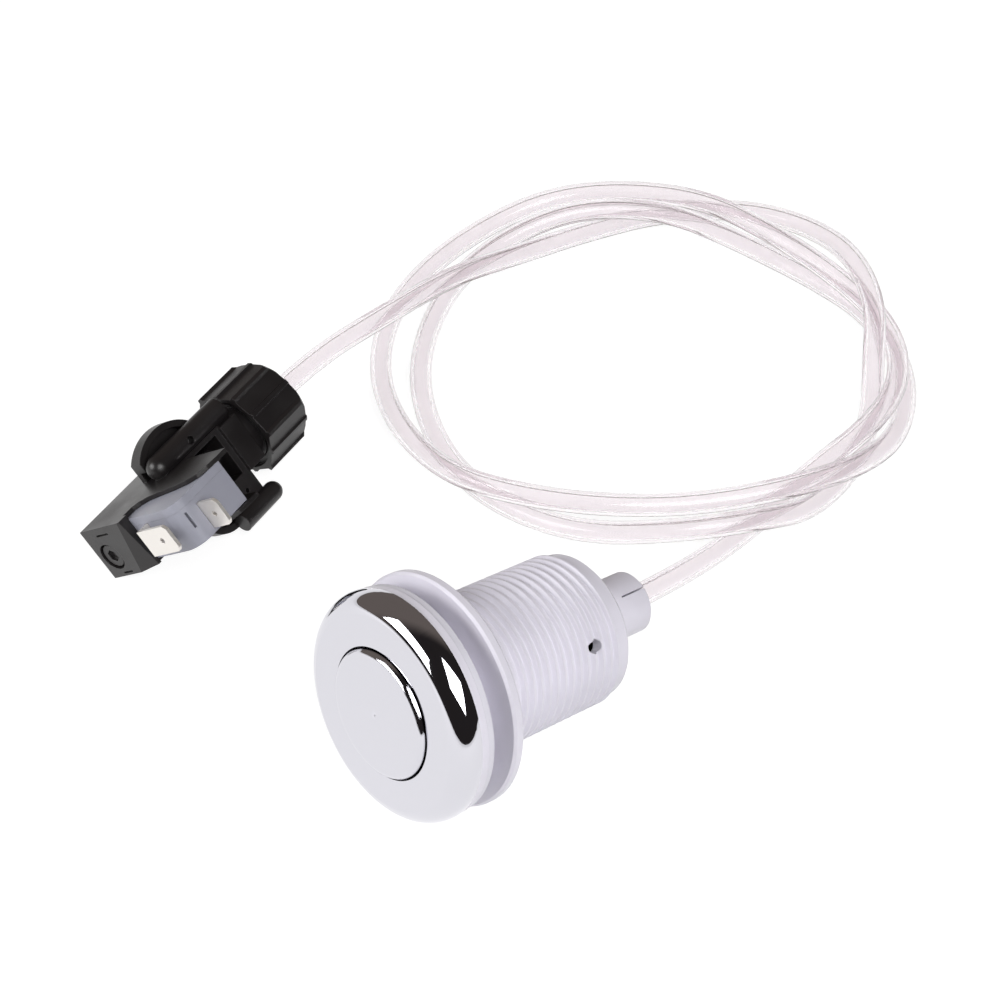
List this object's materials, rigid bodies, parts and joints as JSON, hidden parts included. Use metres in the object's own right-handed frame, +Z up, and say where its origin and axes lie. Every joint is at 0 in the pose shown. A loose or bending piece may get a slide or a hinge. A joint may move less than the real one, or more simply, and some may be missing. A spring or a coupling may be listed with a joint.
{
  "type": "spa pressure switch kit",
  "caption": "Round push button with a bellows that sends an air pulse down a coiled clear tube to a small pressure switch with spade terminals.",
  "frame": {"origin": "on the floor, under the middle of the button, tube and switch as they lie, bounding box bottom centre of the rigid pieces", "axes": "+Z up from the floor, +Y away from the viewer towards the tube's loops, +X towards the button's rear"},
  "size_m": [0.1819, 0.1951, 0.0478],
  "materials": {
    "chrome": "polished",
    "white_plastic": "satin",
    "seal_rubber": "matte",
    "black_rubber": "matte",
    "black_plastic": "satin",
    "grey_plastic": "satin",
    "spring_steel": "satin",
    "terminal_metal": "satin",
    "copper_alloy": "satin",
    "tube_plastic": "clear"
  },
  "bodies": {
    "kit": {"bezel_ring": "chrome", "barrel_housing": "white_plastic", "panel_gasket": "seal_rubber", "bellows": "black_rubber", "return_spring": "spring_steel", "switch_frame": "black_plastic", "pressure_cap": "black_plastic", "diaphragm": "black_rubber", "pusher_spring": "spring_steel", "micro_case": "grey_plastic", "micro_cover": "grey_plastic", "common_terminal": "terminal_metal", "open_terminal": "terminal_metal", "contact_blade": "copper_alloy", "air_tube": "tube_plastic"},
    "button": {"button_cap": "chrome", "button_plunger": "white_plastic"},
    "nut": {"lock_nut": "white_plastic"},
    "pusher": {"diaphragm_pusher": "black_plastic"},
    "micro_pin": {"micro_plunger": "black_plastic"},
    "screw": {"adjusting_screw": "black_plastic"}
  },
  "joints": [
    {"name": "button_press", "type": "slide", "parent": "kit", "child": "button", "axis": [0.7444, 0.6257, -0.2332], "range_m": [0, 0.0045], "stiffness_N_per_m": 600, "deforming": ["bellows", "return_spring"]},
    {"name": "nut_spin", "type": "hinge", "parent": "kit", "child": "nut", "pos_m": [0.01672, -0.03549, 0.02304], "axis": [0.7444, 0.6257, -0.2332], "continuous": true},
    {"name": "pusher_slide", "type": "slide", "parent": "kit", "child": "pusher", "axis": [-0.5261, -0.8504, 0], "range_m": [0, 0.0009], "deforming": ["diaphragm", "pusher_spring"]},
    {"name": "pin_slide", "type": "slide", "parent": "kit", "child": "micro_pin", "axis": [-0.5261, -0.8504, 0], "range_m": [0, 0.0009], "deforming": ["contact_blade"]},
    {"name": "screw_turn", "type": "hinge", "parent": "kit", "child": "screw", "pos_m": [-0.05186, 0.01269, 0.0069], "axis": [0.5261, 0.8504, 0], "continuous": true}
  ],
  "couplings": [
    {"joint": "pusher_slide", "follows": "button_press", "ratio": 0.2},
    {"joint": "pin_slide", "follows": "button_press", "ratio": 0.2}
  ]
}
